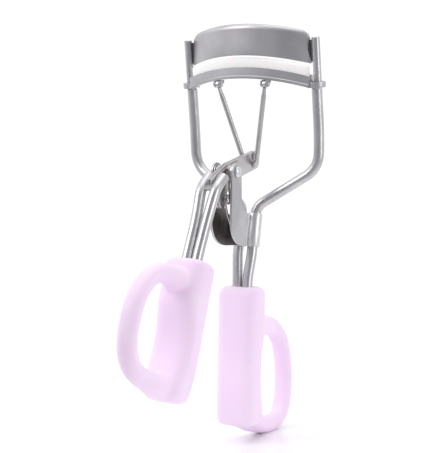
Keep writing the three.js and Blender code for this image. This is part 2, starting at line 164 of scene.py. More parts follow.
def spline(points, per_span=10):
    """A centripetal Catmull-Rom curve through the points."""
    pts = [Vector(p) for p in points]
    pts = [pts[0] * 2 - pts[1]] + pts + [pts[-1] * 2 - pts[-2]]
    path = []
    for i in range(1, len(pts) - 2):
        p = pts[i - 1 : i + 3]
        knots = [0.0]
        for a, b in zip(p, p[1:]):
            knots.append(knots[-1] + math.sqrt((b - a).length))
        for k in range(per_span):
            t = knots[1] + (knots[2] - knots[1]) * k / per_span
            path.append(catmull(p, knots, t))
    path.append(pts[-2])
    return path


def catmull(p, t, at):
    def mix(a, b, ta, tb):
        return a * ((tb - at) / (tb - ta)) + b * ((at - ta) / (tb - ta))

    a1, a2, a3 = (mix(p[i], p[i + 1], t[i], t[i + 1]) for i in range(3))
    b1, b2 = mix(a1, a2, t[0], t[2]), mix(a2, a3, t[1], t[3])
    return mix(b1, b2, t[1], t[2])


# ---- mesh building -------------------------------------------------------------------------------------
def sweep(path, across, other=None, sides=24, chamfer=0.15):
    """A bmesh tube along a path. across and other are its half sizes, as numbers or functions of 0..1."""
    at = across if callable(across) else lambda t: across
    bt = at if other is None else (other if callable(other) else lambda t: other)
    lengths = [0.0]
    for a, b in zip(path, path[1:]):
        lengths.append(lengths[-1] + (b - a).length)
    total = lengths[-1]
    tangents = [
        (path[min(i + 1, len(path) - 1)] - path[max(i - 1, 0)]).normalized() for i in range(len(path))
    ]
    axis = Vector((1, 0, 0))
    if abs(tangents[0].x) > 0.9:
        axis = Vector((0, 1, 0))
    axis = (axis - tangents[0] * axis.dot(tangents[0])).normalized()
    stations = [(path[0], tangents[0], axis, 0.0, chamfer)]
    for i, (p, tangent) in enumerate(zip(path, tangents)):
        if i:
            axis = tangents[i - 1].rotation_difference(tangent) @ axis
            axis = (axis - tangent * axis.dot(tangent)).normalized()
        t = lengths[i] / total
        shift = tangent * (chamfer if i == 0 else -chamfer if i == len(path) - 1 else 0)
        stations.append((p + shift, tangent, axis, t, 0.0))
    stations.append((path[-1], tangents[-1], axis, 1.0, chamfer))
    bm = bmesh.new()
    rings = []
    for p, tangent, first, t, inset in stations:
        second = tangent.cross(first)
        ring = []
        for k in range(sides):
            a = 2 * math.pi * k / sides
            x, y = (at(t) - inset) * math.cos(a), (bt(t) - inset) * math.sin(a)
            ring.append(bm.verts.new(p + first * x + second * y))
        rings.append(ring)
    for low, high in zip(rings, rings[1:]):
        for k in range(sides):
            bm.faces.new((low[k], low[(k + 1) % sides], high[(k + 1) % sides], high[k]))
    bm.faces.new(list(reversed(rings[0])))
    bm.faces.new(rings[-1])
    return bm


def turned(profile, start, direction, sides=48):
    """A body turned from (radius, height) points. The profile closes on itself or starts on the axis."""
    direction = Vector(direction).normalized()
    turn = Vector((0, 0, 1)).rotation_difference(direction)
    bm = bmesh.new()
    rings = []
    for radius, height in profile:
        if radius < 1e-6:
            rings.append([bm.verts.new(Vector(start) + direction * height)])
            continue
        ring = []
        for k in range(sides):
            a = 2 * math.pi * k / sides
            spot = turn @ Vector((radius * math.cos(a), radius * math.sin(a), height))
            ring.append(bm.verts.new(Vector(start) + spot))
        rings.append(ring)
    pairs = list(zip(rings, rings[1:]))
    if len(rings[0]) > 1:
        pairs.append((rings[-1], rings[0]))
    for low, high in pairs:
        for k in range(sides):
            n = (k + 1) % sides
            corners = [low[k % len(low)], low[n % len(low)], high[n % len(high)], high[k % len(high)]]
            corners = [v for i, v in enumerate(corners) if v not in corners[:i]]
            bm.faces.new(corners)
    bmesh.ops.recalc_face_normals(bm, faces=bm.faces)
    return bm


def slab(outline, x0, x1, place=lambda x, a, b: Vector((x, a, b))):
    """A flat plate between two planes, cut to an outline of (a, b) points."""
    bm = bmesh.new()
    near = [bm.verts.new(place(x0, a, b)) for a, b in outline]
    far = [bm.verts.new(place(x1, a, b)) for a, b in outline]
    bm.faces.new(near)
    bm.faces.new(list(reversed(far)))
    count = len(outline)
    for k in range(count):
        bm.faces.new((near[k], far[k], far[(k + 1) % count], near[(k + 1) % count]))
    bmesh.ops.recalc_face_normals(bm, faces=bm.faces)
    return bm


def arc(cy, cz, radius, start, end, count=16):
    """Points on an arc; the angles are in degrees."""
    angles = [math.radians(start + (end - start) * k / count) for k in range(count + 1)]
    return [(cy + radius * math.cos(a), cz + radius * math.sin(a)) for a in angles]


def curve3(a, b, c, count=10):
    """Points on a quadratic curve from a to c, bent towards b."""
    ts = [k / count for k in range(1, count + 1)]
    return [tuple(a[i] * (1 - t) ** 2 + b[i] * 2 * t * (1 - t) + c[i] * t * t for i in (0, 1)) for t in ts]


def merged(*bodies):
    """Several bmeshes as one."""
    whole = bmesh.new()
    for body in bodies:
        mesh = bpy.data.meshes.new("part")
        body.to_mesh(mesh)
        whole.from_mesh(mesh)
        bpy.data.meshes.remove(mesh)
        body.free()
    return whole


def as_object(name, bm):
    """A bmesh in design millimetres as an object in row metres."""
    for v in bm.verts:
        v.co = row(v.co)
    mesh = bpy.data.meshes.new(name)
    bm.to_mesh(mesh)
    bm.free()
    obj = bpy.data.objects.new(name, mesh)
    bpy.context.scene.collection.objects.link(obj)
    return obj


def crisp(obj, degrees=38):
    bm = bmesh.new()
    bm.from_mesh(obj.data)
    for face in bm.faces:
        face.smooth = True
    for edge in bm.edges:
        edge.smooth = edge.calc_face_angle(0) < math.radians(degrees)
    bm.to_mesh(obj.data)
    bm.free()


def apply_modifiers(obj):
    graph = bpy.context.evaluated_depsgraph_get()
    mesh = bpy.data.meshes.new_from_object(obj.evaluated_get(graph))
    obj.modifiers.clear()
    old, obj.data = obj.data, mesh
    bpy.data.meshes.remove(old)


def cut(obj, *tools):
    """Takes bmesh tools, in design millimetres, out of an object."""
    for i, tool in enumerate(tools):
        cutter = as_object("cutter", tool)
        modifier = obj.modifiers.new(f"cut{i}", "BOOLEAN")
        modifier.object, modifier.operation, modifier.solver = cutter, "DIFFERENCE", "EXACT"
        apply_modifiers(obj)
        bpy.data.objects.remove(cutter)


def soften(obj, width, segments=3):
    """Rounds an object's sharp edges; the width is in millimetres."""
    modifier = obj.modifiers.new("edge", "BEVEL")
    modifier.width, modifier.segments = width * MM, segments
    modifier.limit_method, modifier.angle_limit = "ANGLE", math.radians(35)
    apply_modifiers(obj)


def finish_piece(obj, body, slot, material, *nodes):
    crisp(obj)
    obj.data.materials.clear()
    obj.data.materials.append(material)
    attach(obj, body)
    if nodes:
        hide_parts(*nodes)
    return obj


# ---- materials -----------------------------------------------------------------------------------------
def shader(name, **values):
    material = bpy.data.materials.new(name)
    material.use_nodes = True
    bsdf = material.node_tree.nodes["Principled BSDF"]
    for key, value in values.items():
        bsdf.inputs[key.replace("_", " ")].default_value = value
    return material, material.node_tree, bsdf


def noise(tree, scale, stretch=(1, 1, 1), detail=3.0):
    """A noise over the object's own coordinates; the scale is features per metre."""
    nodes, links = tree.nodes, tree.links
    place, mapping = nodes.new("ShaderNodeTexCoord"), nodes.new("ShaderNodeMapping")
    texture = nodes.new("ShaderNodeTexNoise")
    mapping.inputs["Scale"].default_value = stretch
    texture.inputs["Scale"].default_value = scale
    texture.inputs["Detail"].default_value = detail
    links.new(place.outputs["Object"], mapping.inputs["Vector"])
    links.new(mapping.outputs["Vector"], texture.inputs["Vector"])
    return texture.outputs["Fac"]


def ranged(tree, source, low, high):
    remap = tree.nodes.new("ShaderNodeMapRange")
    remap.inputs["From Min"].default_value, remap.inputs["From Max"].default_value = 0.3, 0.7
    remap.inputs["To Min"].default_value, remap.inputs["To Max"].default_value = low, high
    tree.links.new(source, remap.inputs["Value"])
    return remap.outputs["Result"]


def tinted(tree, bsdf, source, one, two):
    ramp = tree.nodes.new("ShaderNodeValToRGB")
    ramp.color_ramp.elements[0].position, ramp.color_ramp.elements[1].position = 0.35, 0.65
    ramp.color_ramp.elements[0].color = (*one, 1)
    ramp.color_ramp.elements[1].color = (*two, 1)
    tree.links.new(source, ramp.inputs["Fac"])
    tree.links.new(ramp.outputs["Color"], bsdf.inputs["Base Color"])


def bumped(tree, bsdf, source, strength, distance):
    bump = tree.nodes.new("ShaderNodeBump")
    bump.inputs["Strength"].default_value, bump.inputs["Distance"].default_value = strength, distance
    tree.links.new(source, bump.inputs["Height"])
    tree.links.new(bump.outputs["Normal"], bsdf.inputs["Normal"])


def metal(name, dark, light, rough, grain, stretch, strength):
    """Steel: slow colour drift, a fine drawn or blasted grain in its gloss and in its relief."""
    material, tree, bsdf = shader(name, Metallic=1.0)
    tinted(tree, bsdf, noise(tree, 160), dark, light)
    fine = noise(tree, grain, stretch)
    tree.links.new(ranged(tree, fine, *rough), bsdf.inputs["Roughness"])
    bumped(tree, bsdf, fine, strength, 0.00001)
    return material


SATIN = metal("satin_steel", (0.50, 0.49, 0.515), (0.57, 0.56, 0.585), (0.40, 0.52), 9000, (0.35, 1, 1), 0.5)
WIRE = metal("satin_wire", (0.53, 0.525, 0.54), (0.61, 0.60, 0.62), (0.33, 0.43), 7000, (1, 1, 0.12), 0.3)
POLISHED = metal(
    "polished_wire", (0.54, 0.535, 0.555), (0.62, 0.615, 0.63), (0.29, 0.38), 7000, (1, 1, 0.12), 0.25)
FROSTED = metal(
    "frosted_sleeve", (0.68, 0.68, 0.69), (0.76, 0.755, 0.765), (0.34, 0.46), 12000, (1, 1, 1), 0.6)
LEVER_STEEL = metal(
    "lever_steel", (0.50, 0.49, 0.51), (0.58, 0.57, 0.58), (0.30, 0.42), 8000, (1, 0.3, 1), 0.4)
# painted shade: dark steel for the shadowed sliver between the plate's ends and the posts
SHADOWED = metal("plate_seam_painted_shade", (0.12, 0.118, 0.125), (0.20, 0.195, 0.205), (0.45, 0.6), 9000, (1, 1, 1), 0.5)
SEAM = metal("lever_crease_dark", (0.26, 0.25, 0.255), (0.36, 0.35, 0.355), (0.36, 0.5), 5000, (1, 1, 1), 0.6)
# painted shade, tinted brown as a painted reflection: the shadow and warm reflections inside the bracket
PAINTED_SHADE_INNER = metal("painted_shade_inner_face", (0.15, 0.135, 0.125), (0.24, 0.22, 0.205), (0.4, 0.55), 8000, (1, 1, 1), 0.5)
SPRING = metal("spring_steel", (0.46, 0.43, 0.40), (0.55, 0.51, 0.48), (0.22, 0.34), 9000, (1, 1, 1), 0.3)


def silicone():
    material, tree, bsdf = shader(
        "white_silicone", Roughness=0.5, Subsurface_Weight=0.25, Subsurface_Scale=0.0012, IOR=1.42,
        Emission_Color=(1, 1, 1, 1), Emission_Strength=0.12)
    # the faint glow lifts its white, which the plate above would shade
    tinted(tree, bsdf, noise(tree, 300), (0.97, 0.97, 0.97), (0.99, 0.99, 0.99))
    bumped(tree, bsdf, noise(tree, 5000), 0.2, 0.00001)
    return material


def soft_touch():
    """Matte lilac moulding: a faint cloudy drift in its colour and a very fine texture."""
    material, tree, bsdf = shader(
        "soft_touch_lilac", Roughness=0.62, Subsurface_Weight=0.18, Subsurface_Scale=0.0015, IOR=1.45)
    tinted(tree, bsdf, noise(tree, 90), (0.925, 0.74, 0.955), (0.95, 0.77, 0.98))
    fine = noise(tree, 6500, detail=2)
    tree.links.new(ranged(tree, fine, 0.56, 0.68), bsdf.inputs["Roughness"])
    bumped(tree, bsdf, fine, 0.25, 0.00002)
    return material


SILICONE = silicone()
SOFT_TOUCH = soft_touch()


# ---- fixed frame ---------------------------------------------------------------------------------------
def frame_wire(word, side):
    path = rounded_path([
        (side * WIRE_X, 0, 7),
        (side * WIRE_X, 0, 36),
        sleeve_axis(side, 42),
        sleeve_axis(side, 54.1),
        (side * 17.3, 5.7, 63.9),
        head(side * POST_X, 0, -11),
        head(side * POST_X, 0, THIN_FROM),
    ], 2.5, 1.5, 2.1, 6)
    thick = sweep(path, WIRE_R, sides=32)
    thin = sweep(refine([
        head(side * (POST_X + POST_STEP), 0, THIN_FROM - 1.2),
        head(side * (POST_X + POST_STEP), 0, POST_TOP),
    ], 1.5), POST_THIN_R, sides=32, chamfer=0.12)
    obj = as_object(f"{word}_wire_fine", merged(thick, thin))
    finish_piece(obj, "frame", "polished_steel", WIRE, f"{word}_frame_wire")
    obj.data.materials.append(POLISHED)
    shank_top = row((0, 0, (SLEEVE_LOW + SLEEVE_HIGH) / 2)).z
    for face in obj.data.polygons:
        face.material_index = int(face.center.z < shank_top)
    return obj


def plate_half(w):
    """The pressing plate's sideways reach at a height: bitten beside the posts, rounded at the top."""
    drop = arch(PLATE_HALF)
    height, middle = w - drop, (PLATE_LOW + PLATE_HIGH) / 2 - drop
    reach = PLATE_HALF
    off = abs(height - middle)
    if off < 6.2:
        reach = min(reach, PLATE_HALF + 5.6 - math.sqrt(6.2**2 - off**2))
    corner = 4.2
    centre = PLATE_HALF - corner
    x = PLATE_HALF
    for _ in range(12):  # the arch moves the edge, so the corner's circle is met step by step
        above = w - arch(x) - (PLATE_HIGH - arch(centre) - corner)
        if above > 0:
            x = min(PLATE_HALF, centre + math.sqrt(max(0.01, corner**2 - above**2)))
    return min(reach, x)


def top_plate():
    rim = 1.3  # the top edge rolls back on this radius
    shoulder = PLATE_HIGH - rim
    rise = shoulder - PLATE_LOW
    front = [(PLATE_V + 0.6 * ((k / 12) ** 1.25), PLATE_LOW + rise * k / 12) for k in range(12)]
    front += [(PLATE_V + 0.6 + rim * (1 - math.cos(a)), shoulder + rim * math.sin(a))
              for a in (math.radians(90 * k / 10) for k in range(11))]
    inner = rim - PLATE_THICK
    back = [(PLATE_V + 0.6 + rim, PLATE_HIGH - PLATE_THICK)]
    back += [(PLATE_V + 0.6 + rim - inner * math.sin(a), shoulder + inner * math.cos(a))
             for a in (math.radians(90 * k / 6) for k in range(1, 7))]
    back += [(v + PLATE_THICK, w) for v, w in reversed(front[:12])]
    section = front + back
    columns = 72
    bm = bmesh.new()
    rings = []
    for i in range(columns + 1):
        u = 2 * i / columns - 1
        ring = []
        for v, w in section:
            x = u * plate_half(w)
            ring.append(bm.verts.new(head(x, v + bow(x, PLATE_BOW), w - arch(x))))
        rings.append(ring)
    count = len(section)
    for low, high in zip(rings, rings[1:]):
        for k in range(count):
            bm.faces.new((low[k], low[(k + 1) % count], high[(k + 1) % count], high[k]))
    bm.faces.new(rings[0])
    bm.faces.new(list(reversed(rings[-1])))
    bmesh.ops.recalc_face_normals(bm, faces=bm.faces)
    obj = as_object("pressing_plate", bm)
    soften(obj, 0.14)
    return finish_piece(obj, "frame", "satin_steel", SATIN, "top_plate")


def painted_shade_seam(word, side):
    """The sunk seam piece that joins the plate's bitten end to its post; its dark colour is painted shade,
    the shadow beside the post.
    """
    drop = arch(PLATE_HALF)
    middle, reach = (PLATE_LOW + PLATE_HIGH) / 2 - drop - 0.7, 2.6
    inner = [(side * (plate_half(middle + drop + h) - 0.5), middle + h)
             for h in (reach * (2 * k / 12 - 1) for k in range(13))]
    outline = inner + [(side * (POST_X - 0.5), middle + reach), (side * (POST_X - 0.5), middle - reach)]
    if side < 0:
        outline.reverse()
    seat = PLATE_V + bow(PLATE_HALF, PLATE_BOW) + 0.5
    thick = 0.35
    obj = as_object(f"{word}_painted_shade_seam", slab(outline, seat, seat + thick, lambda v, x, w: head(x, v, w)))
    soften(obj, 0.05, 1)
    # the dark steel is painted shade
    finish_piece(obj, "frame", "satin_steel", SHADOWED)


def cheek_outline():
    y, z = PIVOT_Y, PIVOT_Z
    points = arc(y, z, 2.2, 180, 0, 28)
    points += [(y + 2.5, 56.2)]
    points += curve3((y + 2.5, 56.2), (y + 2.9, 54.4), (y + 4.8, 53.2))
    high, low = (sleeve_axis(1, height).y + WEB for height in (WEB_HIGH, WEB_LOW))
    points += [(high, WEB_HIGH), (low, WEB_LOW)]
    points += curve3((low, WEB_LOW), (y - 2.1, 45.2), (y - 2.2, 51.5), 16)
    return points


def bracket(word, side):
    x0, x1 = sorted((side * CHEEK_IN, side * CHEEK_OUT))
    cheek = as_object(f"{word}_bracket_cheek", slab(cheek_outline(), x0, x1))
    axis = sleeve_axis(side, 1) - sleeve_axis(side, 0)
    soften(cheek, 0.12)
    finish_piece(cheek, "frame", "satin_steel", SATIN, f"{word}_bracket_plate")
    # the faces turned in towards the lever get the painted shade
    cheek.data.materials.append(PAINTED_SHADE_INNER)
    for face in cheek.data.polygons:
        face.material_index = int(face.normal.x * side < -0.8)
    section = [(CHEEK_OUT, WEB - 0.3), (CHEEK_OUT, WEB), (SLEEVE_X - 0.55, -1.55),
               (SLEEVE_X - 1.2, -1.2), (CHEEK_IN, WEB), (CHEEK_IN, WEB - 0.3)]
    web = as_object(f"{word}_bracket_web", slab(
        [(side * x, y) for x, y in section], WEB_LOW, WEB_HIGH,
        lambda height, x, y: Vector((x, sleeve_axis(side, height).y + y, height))))
    soften(web, 0.1)
    finish_piece(web, "frame", "satin_steel", FROSTED)
    # the web's faces turned in towards the lever get the painted shade
    web.data.materials.append(PAINTED_SHADE_INNER)
    for face in web.data.polygons:
        face.material_index = int(face.normal.x * side < -0.3)
    length = (sleeve_axis(side, SLEEVE_HIGH) - sleeve_axis(side, SLEEVE_LOW)).length
    inner, lip = WIRE_R + GAP, 0.1
    profile = [
        (inner, lip), (inner + lip * 0.3, lip * 0.3), (inner + lip, 0), (SLEEVE_R - lip, 0),
        (SLEEVE_R - lip * 0.3, lip * 0.3), (SLEEVE_R, lip), (SLEEVE_R, length - lip),
        (SLEEVE_R - lip * 0.3, length - lip * 0.3), (SLEEVE_R - lip, length), (inner + lip, length),
        (inner + lip * 0.3, length - lip * 0.3), (inner, length - lip),
    ]
    sleeve = as_object(f"{word}_rolled_sleeve", turned(profile, sleeve_axis(side, SLEEVE_LOW), axis))
    finish_piece(sleeve, "frame", "satin_steel", FROSTED)


def dome(reach, radius, height, steps=8):
    """The (radius, distance) points of a domed rivet head, from its edge to its middle."""
    return [(radius * math.cos(a), reach + height * math.sin(a))
            for a in (math.radians(90 * k / steps) for k in range(steps + 1))]


def pivot_rivet():
    radius, seat = 1.35, CHEEK_OUT + GAP
    near = [(PIN_R, seat), (radius, seat)] + dome(seat + 0.1, radius, 0.7)
    far = [(PIN_R, seat), (radius, seat)] + dome(seat + 0.05, radius, 0.4)
    near[-1], far[-1] = (0, near[-1][1]), (0, far[-1][1])
    profile = [(r, -h) for r, h in reversed(far)] + near
    obj = as_object("rivet_fine", turned(profile, (0, PIVOT_Y, PIVOT_Z), (1, 0, 0)))
    finish_piece(obj, "frame", "polished_steel", FROSTED, "pivot_rivet")


def ring(name, node, x0, x1, inner, outer):
    lip = 0.06
    profile = [(inner, x0 + lip), (inner + lip, x0), (outer - lip, x0), (outer, x0 + lip),
               (outer, x1 - lip), (outer - lip, x1), (inner + lip, x1), (inner, x1 - lip)]
    obj = as_object(name, turned(profile, (0, PIVOT_Y, PIVOT_Z), (1, 0, 0)))
    finish_piece(obj, "frame", "polished_steel", POLISHED, node)


def torsion_spring():
    first, rise, radius, steps = 0.93, 0.9, 1.5, 72
    begin, turn = math.pi / 2 - 0.2, 4.5 * math.pi + 0.2

    def at(x, dy, dz):
        return Vector((x, PIVOT_Y + dy, PIVOT_Z + dz))

    points = [at(first, 4.4, 2.5), at(first, 2.2, 1.95)]
    for i in range(steps + 1):
        a = begin + turn * i / steps
        points.append(at(first + rise * i / steps, radius * math.cos(a), radius * math.sin(a)))
    points.append(at(1.9, -1.9, -3.6))
    hook, hook_y, hook_z, count = 0.95, -1.6, -6.6, 24  # one more turn on the leg that presses on the frame
    for i in range(count + 1):
        a = math.pi / 2 + i / count * 2.4 * math.pi
        points.append(at(1.95 - 0.7 * i / count, hook_y + hook * math.cos(a), hook_z + hook * math.sin(a)))
    points += [at(1.2, -1.2, -10), at(1.2, 0.6, -13)]
    obj = as_object("spring_fine", sweep(spline(points, 4), 0.25, sides=12, chamfer=0.05))
    crisp(obj)
    obj.data.materials.append(SPRING)
    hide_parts("torsion_spring")
    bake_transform(obj)


# ---- jaw -----------------------------------------------------------------------------------------------
def bowed(section, half, radius, columns, ends=0.0):
    """A closed section (v, w) carried across the jaw, bowed back and arched down; ends rounds its ends."""
    centre_v = sum(v for v, w in section) / len(section)
    centre_w = sum(w for v, w in section) / len(section)
    stations = []
    if ends:
        stations = sorted((-half + ends * (1 - math.cos(a)), 0.62 + 0.38 * math.sin(a))
                          for a in (math.radians(90 * k / 8) for k in range(9)))
    inner = half - ends
    first, past = (1, columns) if ends else (0, columns + 1)
    stations += [(-inner + 2 * inner * k / columns, 1.0) for k in range(first, past)]
    if ends:
        stations += [(-x, s) for x, s in reversed(stations[:9])]
    bm = bmesh.new()
    rings = []
    for x, scale in stations:
        rings.append([
            bm.verts.new(head(
                x,
                centre_v + (v - centre_v) * scale + bow(x, radius),
                centre_w + (w - centre_w) * scale - arch(x),
            )) for v, w in section
        ])
    count = len(section)
    for low, high in zip(rings, rings[1:]):
        for k in range(count):
            bm.faces.new((low[k], low[(k + 1) % count], high[(k + 1) % count], high[k]))
    bm.faces.new(rings[0])
    bm.faces.new(list(reversed(rings[-1])))
    bmesh.ops.recalc_face_normals(bm, faces=bm.faces)
    return bm


def post_bore(side, above):
    """The post's hole through the jaw, with twice the CAD part's clearance."""
    ends = [head(side * POST_X, 0, EAR_LOW - 2), head(side * POST_X, 0, EAR_HIGH + above)]
    return sweep(ends, WIRE_R + 2 * FIT, sides=64)


def lower_jaw():
    v, low, high, lip, floor = JAW_V, JAW_LOW, JAW_HIGH, 0.3, 0.6
    section = [
        (v - lip, low), (v + JAW_DEPTH, low), (v + JAW_DEPTH, high), (v + JAW_DEPTH - JAW_SHEET, high),
        (v + JAW_DEPTH - JAW_SHEET, low + floor), (v + JAW_SHEET, low + floor),
        (v + JAW_SHEET, high), (v, high),
        (v, low + floor + 0.2), (v - lip, low + floor),
    ]
    channel = as_object("jaw_channel", bowed(section, JAW_HALF, JAW_BOW, 64))
    for word, side in SIDES:
        cut(channel, post_bore(side, 6))
    soften(channel, 0.13)
    finish_piece(channel, "jaw", "satin_steel", SATIN, "lower_jaw")
    for word, side in SIDES:
        outline = [(side * EAR_FROM, -EAR_R)]
        sweep_to = (-90, 90) if side > 0 else (270, 90)
        outline += arc(side * POST_X, 0, EAR_R, *sweep_to, 28)
        outline += [(side * EAR_FROM, EAR_R * 0.7)]
        ear = as_object(f"{word}_jaw_ear", slab(outline, EAR_LOW, EAR_HIGH, lambda w, x, v: head(x, v, w)))
        cut(ear, post_bore(side, 3))
        soften(ear, 0.15)
        finish_piece(ear, "jaw", "satin_steel", SATIN)


def silicone_pad():
    front, back = JAW_V + JAW_SHEET + GAP, JAW_V + JAW_DEPTH - JAW_SHEET - GAP
    foot, r = JAW_LOW + 0.6 + GAP, 0.62
    section = [(front, foot), (back, foot)]
    section += [(back - r + r * math.cos(a), PAD_TOP - r + r * math.sin(a))
                for a in (math.radians(90 * k / 8) for k in range(9))]
    section += [(front + r - r * math.sin(a), PAD_TOP - r + r * math.cos(a))
                for a in (math.radians(90 * k / 8) for k in range(9))]
    obj = as_object("pad_fine", bowed(section, PAD_HALF, JAW_BOW, 56, ends=1.0))
    finish_piece(obj, "jaw", "silicone", SILICONE, "silicone_pad")


def link_lug(word, side):
    top = JAW_LOW - arch(EYE_X) - GAP
    leaves = []
    for way in (-1, 1):
        x = side * EYE_X + way * (EYE_WIDE / 2 + FIT + 0.2)
        outline = [(EYE_V - 0.75, top)] + arc(EYE_V, EYE_W, 0.75, 180, 360, 16) + [(EYE_V + 1.4, top)]
        leaves.append(slab(outline, x - 0.2, x + 0.2, head))
    half = EYE_WIDE / 2 + FIT + 0.4
    crown = [(EYE_V + 0.75, top - 0.8), (EYE_V + 1.55, top - 0.8), (EYE_V + 1.55, top), (EYE_V + 0.75, top)]
    leaves.append(slab(crown, side * EYE_X - half, side * EYE_X + half, head))
    obj = as_object(f"{word}_lug_fine", merged(*leaves))
    soften(obj, 0.07, 2)
    finish_piece(obj, "jaw", "satin_steel", SATIN, f"{word}_link_lug")


def link_pin(word, side):
    half = EYE_WIDE / 2 + FIT + 0.45
    near = [(EYE_PIN_R, half), (0.6, half)] + dome(half + 0.05, 0.6, 0.28, 5)
    near[-1] = (0, near[-1][1])
    profile = [(r, -h) for r, h in reversed(near)] + near
    obj = as_object(f"{word}_pin_fine", turned(profile, head(side * EYE_X, EYE_V, EYE_W), (1, 0, 0), 28))
    finish_piece(obj, "jaw", "polished_steel", POLISHED, f"{word}_link_pin")


# ---- link ----------------------------------------------------------------------------------------------
def v_link():
    eyes = {side: head(side * EYE_X, EYE_V, EYE_W) for side in (-1, 1)}
    knees = {side: Vector((side * FOOT_HALF, FOOT_Y, FOOT_Z)) for side in (-1, 1)}
    starts = {side: eyes[side].lerp(knees[side], 0.04) for side in (-1, 1)}
    path = rounded_path([starts[-1], knees[-1], knees[1], starts[1]], 1.1, step=0.15)
    path = refine(path, 0.6)

    def narrow(t):
        near = min(t, 1 - t) * 42
        blend = min(1.0, max(0.0, (near - 1.0) / 1.4))
        return 0.42 + (LINK_R - 0.42) * blend * blend * (3 - 2 * blend)

    rod = sweep(path, narrow, LINK_R, sides=24, chamfer=0.1)
    lip, half, hole = 0.12, EYE_WIDE / 2, EYE_PIN_R + FIT
    profile = [(hole, -half + lip), (hole + lip, -half), (EYE_R - lip, -half), (EYE_R, -half + lip),
               (EYE_R, half - lip), (EYE_R - lip, half), (hole + lip, half), (hole, half - lip)]
    hoops = [turned(profile, eyes[side], (1, 0, 0), 36) for side in (-1, 1)]
    obj = as_object("link_fine", merged(rod, *hoops))
    finish_piece(obj, "link", "satin_steel", LEVER_STEEL, "v_link")


# ---- swinging handle -----------------------------------------------------------------------------------
def lever_outline():
    y = PIVOT_Y
    points = [(y - 0.8, 64.7), (3.6, 67.8)]
    points += curve3((3.6, 67.8), (6.3, 68.2), (6.3, 66.2))
    points += [(6.2, 64.9)]
    points += curve3((6.2, 64.9), (6.0, 63.7), (4.6, 63.4))
    points += [(-2.4, 61.6), (y + 1.4, 60.4)]
    points += curve3((y + 1.4, 60.4), (-9.4, 58.6), (-9.9, 55.6))
    points += curve3((-9.9, 55.6), (-10.7, 53.6), (-12.0, 54.0))
    points += curve3((-12.0, 54.0), (-13.3, 54.8), (-13.4, 57.4))
    points += [(-16.8, 59.0), (-17.2, 61.0)]
    return points


def lever_plate():
    slot_y, slot_low, slot_high, slot_r = 2.9, 64.75, 66.45, 1.05
    keyhole = arc(slot_y, slot_high, slot_r, 0, 180, 16) + arc(slot_y, slot_low, slot_r, 180, 360, 16)
    half, seam = LEVER_T / 2, 0.1
    leaves = [slab(lever_outline(), *span) for span in ((-half, -seam), (seam, half))]
    obj = as_object("lever_fine", merged(*leaves))
    soften(obj, 0.13)
    cut(obj, slab(keyhole, -2, 2))
    finish_piece(obj, "handle", "satin_steel", LEVER_STEEL, "lever_plate")


def handle_wire(word, side):
    spread = LEVER_T / 2 + WIRE_R + GAP
    path = rounded_path([
        moving(side * WIRE_X, 0, 7),
        moving(side * WIRE_X, 0, MOVING_L),
        (side * (WIRE_X + 0.1), -20.0, 52.0),
        (side * spread, -17.3, 58.9),
        (side * spread, -13.3, 61.7),
    ], 4, 4, 3.4)
    obj = as_object(f"{word}_handle_fine", sweep(path, WIRE_R, sides=32, chamfer=0.5))
    finish_piece(obj, "handle", "polished_steel", POLISHED, f"{word}_handle_wire")


def lever_saddle():
    """A dark sheet in the crease between the handle wires' tops, around the lever's tail."""
    outline = [(-10.9, 63.9), (-10.9, 63.0), (-14.2, 60.9), (-17.2, 58.2), (-17.9, 58.6), (-14.3, 62.2)]
    obj = as_object("lever_saddle", slab(outline, -1.25, 1.25))
    soften(obj, 0.2)
    finish_piece(obj, "handle", "satin_steel", SEAM)


# ---- grips ---------------------------------------------------------------------------------------------
def grip_body(place, length, taper):
    """The straight body: a rounded box section lofted along the grip, with full soft ends."""
    power, sides = 3.2, 64
    rounding = 1.7
    angles = (math.radians(90 * k / 8) for k in range(9))
    stations = [(rounding * (1 - math.cos(a)), math.sin(a)) for a in angles]
    heights = [(h, 1 - (1 - s) * 0.36) for h, s in stations]
    heights += [(rounding + (length - 2 * rounding) * k / 30, 1.0) for k in range(1, 30)]
    heights += [(length - h, s) for h, s in reversed(heights[:9])]
    bm = bmesh.new()
    rings = []
    for up, scale in heights:
        narrow = 1 - taper * max(0, 1 - up / 9) ** 2
        ring = []
        for k in range(sides):
            a = 2 * math.pi * k / sides
            c, s = math.cos(a), math.sin(a)
            x = math.copysign(abs(c) ** (2 / power), c) * GRIP_WIDE / 2 * scale * narrow
            out = math.copysign(abs(s) ** (2 / power), s) * GRIP_DEEP / 2 * scale * narrow
            if s > 0:
                hollow = math.sin(math.pi * min(1, max(0, (up - 4) / 18)))
                out -= SCOOP * hollow * min(1, s * 2)
            ring.append(bm.verts.new(place(x, out, up)))
        rings.append(ring)
    for low, high in zip(rings, rings[1:]):
        for k in range(sides):
            bm.faces.new((low[k], low[(k + 1) % sides], high[(k + 1) % sides], high[k]))
    bm.faces.new(list(reversed(rings[0])))
    bm.faces.new(rings[-1])
    bmesh.ops.recalc_face_normals(bm, faces=bm.faces)
    return bm


def grip_loop(place, points, wide, deep):
    """The finger loop: a round strap that widens into the body at both roots."""
    path = [place(0, p.x, p.y) for p in spline([Vector((a, b, 0)) for a, b in points], 8)]

    def flare(amount, reach):
        def size(t):
            near = max(0.0, 1 - min(t, 1 - t) / reach)
            return LOOP_R * (0.93 + amount * near * near * (3 - 2 * near))
        return size

    bm = sweep(path, flare(wide, 0.24), flare(deep, 0.20), sides=32, chamfer=0.3)
    bmesh.ops.recalc_face_normals(bm, faces=bm.faces)
    return bm


